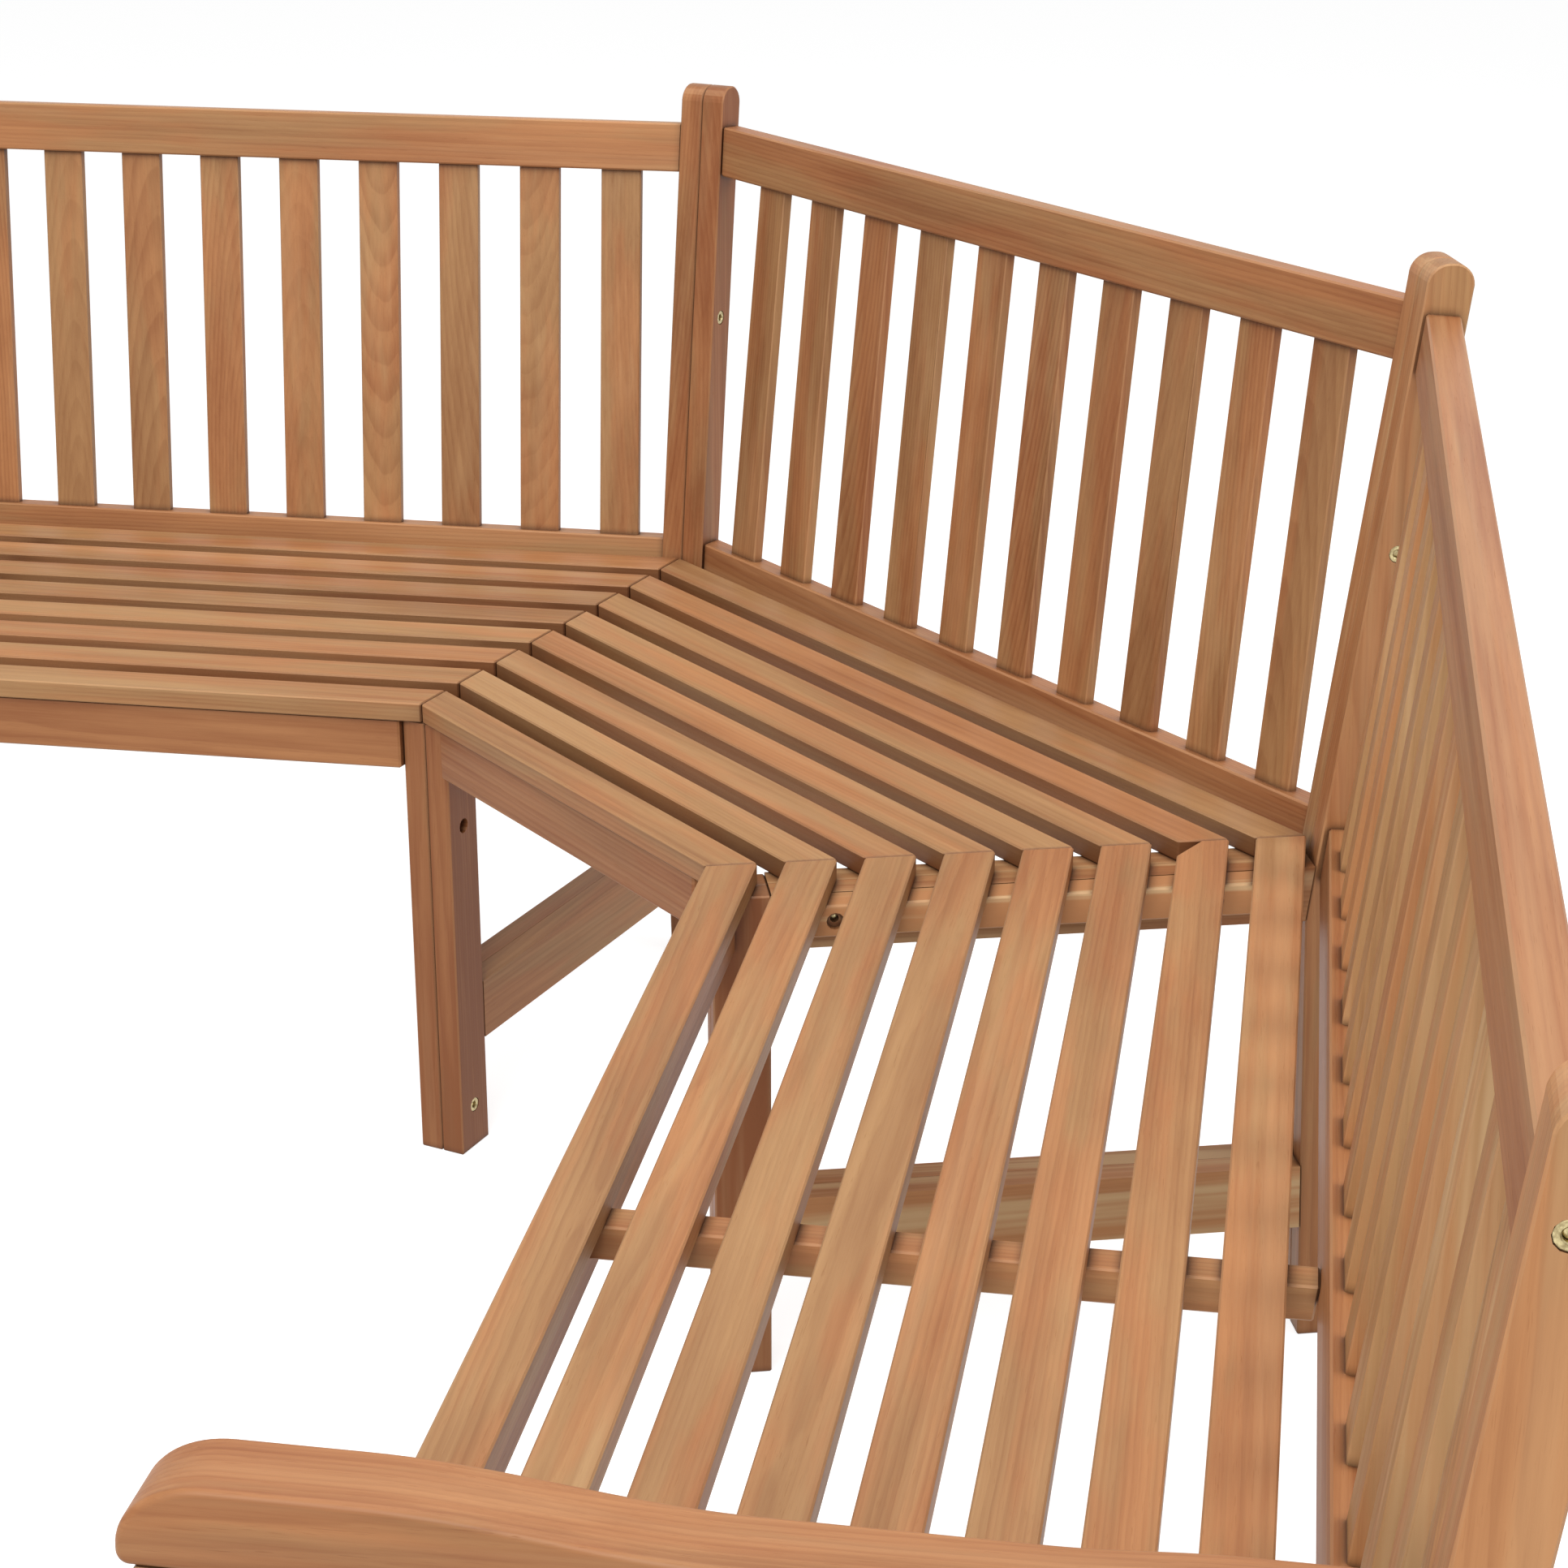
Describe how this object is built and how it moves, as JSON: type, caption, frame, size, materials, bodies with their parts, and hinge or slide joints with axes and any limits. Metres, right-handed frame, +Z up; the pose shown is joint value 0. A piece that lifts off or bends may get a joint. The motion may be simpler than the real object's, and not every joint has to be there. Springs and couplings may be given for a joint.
{
  "type": "corner garden bench",
  "caption": "Slatted wooden corner bench: a short middle bench and two long side benches meet at mitred frames, with an armrest at each free end.",
  "frame": {"origin": "on the ground under the middle of the bench's bounding box", "axes": "+X along the bench's longest side, from the left section to the right one; -Y is the way that the middle section faces; +Z up"},
  "size_m": [2.9468, 1.3634, 0.895],
  "materials": {
    "teak": "planed hardwood with a thin satin oil",
    "bolt_metal": "plain satin brass-coloured bolt heads"
  },
  "bodies": {
    "root": {"left_armrest": "teak", "left_back_panel": "teak", "left_end_back_post": "teak", "left_end_front_leg": "teak", "left_end_low_stretcher": "teak", "left_end_seat_bearer": "teak", "left_front_apron": "teak", "left_junction_back_post": "teak", "left_junction_front_leg": "teak", "left_junction_low_stretcher": "teak", "left_junction_seat_bearer": "teak", "left_mid_support": "teak", "left_seat_ledger": "teak", "left_seat_slat_1": "teak", "left_seat_slat_2": "teak", "left_seat_slat_3": "teak", "left_seat_slat_4": "teak", "left_seat_slat_5": "teak", "left_seat_slat_6": "teak", "left_seat_slat_7": "teak", "left_seat_slat_8": "teak", "middle_back_panel": "teak", "middle_front_apron": "teak", "middle_left_back_post": "teak", "middle_left_front_leg": "teak", "middle_left_low_stretcher": "teak", "middle_left_seat_bearer": "teak", "middle_right_back_post": "teak", "middle_right_front_leg": "teak", "middle_right_low_stretcher": "teak", "middle_right_seat_bearer": "teak", "middle_seat_slat_1": "teak", "middle_seat_slat_2": "teak", "middle_seat_slat_3": "teak", "middle_seat_slat_4": "teak", "middle_seat_slat_5": "teak", "middle_seat_slat_6": "teak", "middle_seat_slat_7": "teak", "middle_seat_slat_8": "teak", "right_armrest": "teak", "right_back_panel": "teak", "right_end_back_post": "teak", "right_end_front_leg": "teak", "right_end_low_stretcher": "teak", "right_end_seat_bearer": "teak", "right_front_apron": "teak", "right_junction_back_post": "teak", "right_junction_front_leg": "teak", "right_junction_low_stretcher": "teak", "right_junction_seat_bearer": "teak", "right_mid_support": "teak", "right_seat_ledger": "teak", "right_seat_slat_1": "teak", "right_seat_slat_2": "teak", "right_seat_slat_3": "teak", "right_seat_slat_4": "teak", "right_seat_slat_5": "teak", "right_seat_slat_6": "teak", "right_seat_slat_7": "teak", "right_seat_slat_8": "teak"}
  },
  "joints": []
}
